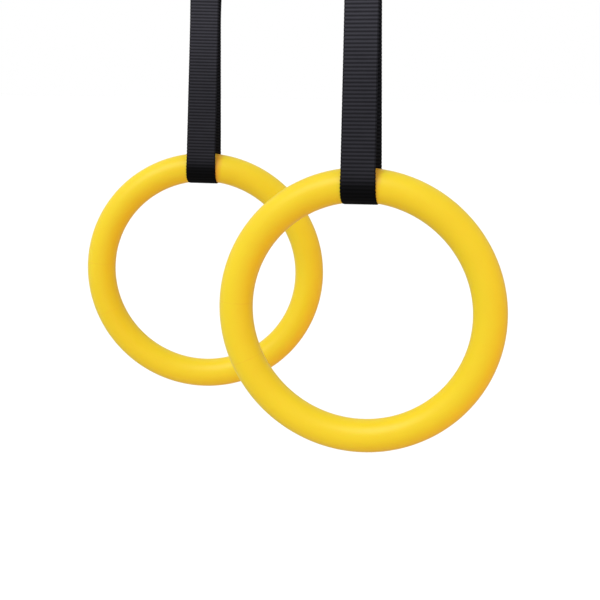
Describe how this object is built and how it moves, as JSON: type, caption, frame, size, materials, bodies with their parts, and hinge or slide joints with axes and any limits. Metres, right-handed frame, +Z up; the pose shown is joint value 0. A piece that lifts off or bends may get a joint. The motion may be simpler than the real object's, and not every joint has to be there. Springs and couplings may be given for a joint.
{
  "type": "gymnastics rings",
  "caption": "Hanging gymnastics rings: hollow plastic grip rings, each in a loop of ribbed webbing with a cam buckle and a carabiner to hang it by.",
  "frame": {"origin": "the right set's hang point: inside of the top bend of its carabiner", "axes": "+Z up along the hanging straps, +Y away from the front of the rings, +X towards the right set; the right set is turned -5.5 degrees and the left set +2.5 degrees about Z, and each leans 0.8 degrees towards the other at its top"},
  "size_m": [0.3995, 0.2737, 0.6014],
  "materials": {
    "ring_plastic": "satin moulded",
    "strap_webbing": "ribbed woven polyester",
    "buckle_steel": "zinc plated",
    "pin_steel": "plain",
    "carabiner_steel": "zinc plated"
  },
  "bodies": {
    "carabiners": {"right_carabiner_body": "carabiner_steel", "right_carabiner_gate_pin": "pin_steel", "left_carabiner_body": "carabiner_steel", "left_carabiner_gate_pin": "pin_steel"},
    "right_strap": {"right_strap_front_run": "strap_webbing", "right_strap_rear_run": "strap_webbing", "right_strap_top_loop": "strap_webbing", "right_strap_tail": "strap_webbing", "right_buckle_frame": "buckle_steel", "right_buckle_pin": "pin_steel", "right_buckle_spring": "pin_steel"},
    "right_strap_end": {"right_strap_ring_loop": "strap_webbing"},
    "right_ring": {"right_ring_front_shell": "ring_plastic", "right_ring_rear_shell": "ring_plastic"},
    "right_cam": {"right_buckle_cam_lever": "buckle_steel"},
    "right_gate": {"right_carabiner_gate": "carabiner_steel"},
    "left_strap": {"left_strap_front_run": "strap_webbing", "left_strap_rear_run": "strap_webbing", "left_strap_top_loop": "strap_webbing", "left_strap_tail": "strap_webbing", "left_buckle_frame": "buckle_steel", "left_buckle_pin": "pin_steel", "left_buckle_spring": "pin_steel"},
    "left_strap_end": {"left_strap_ring_loop": "strap_webbing"},
    "left_ring": {"left_ring_front_shell": "ring_plastic", "left_ring_rear_shell": "ring_plastic"},
    "left_cam": {"left_buckle_cam_lever": "buckle_steel"},
    "left_gate": {"left_carabiner_gate": "carabiner_steel"}
  },
  "joints": [
    {"name": "right_strap_swing", "type": "hinge", "parent": "carabiners", "child": "right_strap", "pos_m": [0.00099, -0.0001, -0.07099], "axis": [0.9953, -0.0958, 0.014], "range_deg": [-60, 10]},
    {"name": "right_strap_twist", "type": "hinge", "parent": "right_strap", "child": "right_strap_end", "pos_m": [0.00418, -0.0004, -0.30097], "axis": [-0.0139, 0.0013, 0.9999], "range_deg": [-90, 90]},
    {"name": "right_ring_tilt", "type": "hinge", "parent": "right_strap_end", "child": "right_ring", "pos_m": [0.00502, -0.00048, -0.36096], "axis": [0.9953, -0.0958, 0.014], "range_deg": [-75, 25]},
    {"name": "right_cam_release", "type": "hinge", "parent": "right_strap", "child": "right_cam", "pos_m": [0.00373, 0.01742, -0.14599], "axis": [-0.9953, 0.0958, -0.014], "range_deg": [0, 34], "stiffness_Nm_per_rad": 0.1, "springref_deg": -22.92},
    {"name": "right_gate_open", "type": "hinge", "parent": "carabiners", "child": "right_gate", "pos_m": [0.02621, -0.00252, -0.02363], "axis": [0.0958, 0.9954, 0], "range_deg": [0, 25], "stiffness_Nm_per_rad": 0.1, "springref_deg": -22.92},
    {"name": "left_strap_swing", "type": "hinge", "parent": "carabiners", "child": "left_strap", "pos_m": [-0.15339, 0.21636, -0.08199], "axis": [0.999, 0.0436, -0.014], "range_deg": [-10, 60]},
    {"name": "left_strap_twist", "type": "hinge", "parent": "left_strap", "child": "left_strap_end", "pos_m": [-0.1566, 0.21622, -0.31197], "axis": [0.0139, 0.0006, 0.9999], "range_deg": [-90, 90]},
    {"name": "left_ring_tilt", "type": "hinge", "parent": "left_strap_end", "child": "left_ring", "pos_m": [-0.15744, 0.21618, -0.37196], "axis": [0.999, 0.0436, -0.014], "range_deg": [-25, 75]},
    {"name": "left_cam_release", "type": "hinge", "parent": "left_strap", "child": "left_cam", "pos_m": [-0.15521, 0.23399, -0.15699], "axis": [-0.999, -0.0436, 0.014], "range_deg": [0, 34], "stiffness_Nm_per_rad": 0.1, "springref_deg": -22.92},
    {"name": "left_gate_open", "type": "hinge", "parent": "carabiners", "child": "left_gate", "pos_m": [-0.12676, 0.21752, -0.03536], "axis": [-0.0436, 0.999, 0], "range_deg": [0, 25], "stiffness_Nm_per_rad": 0.1, "springref_deg": -22.92}
  ]
}
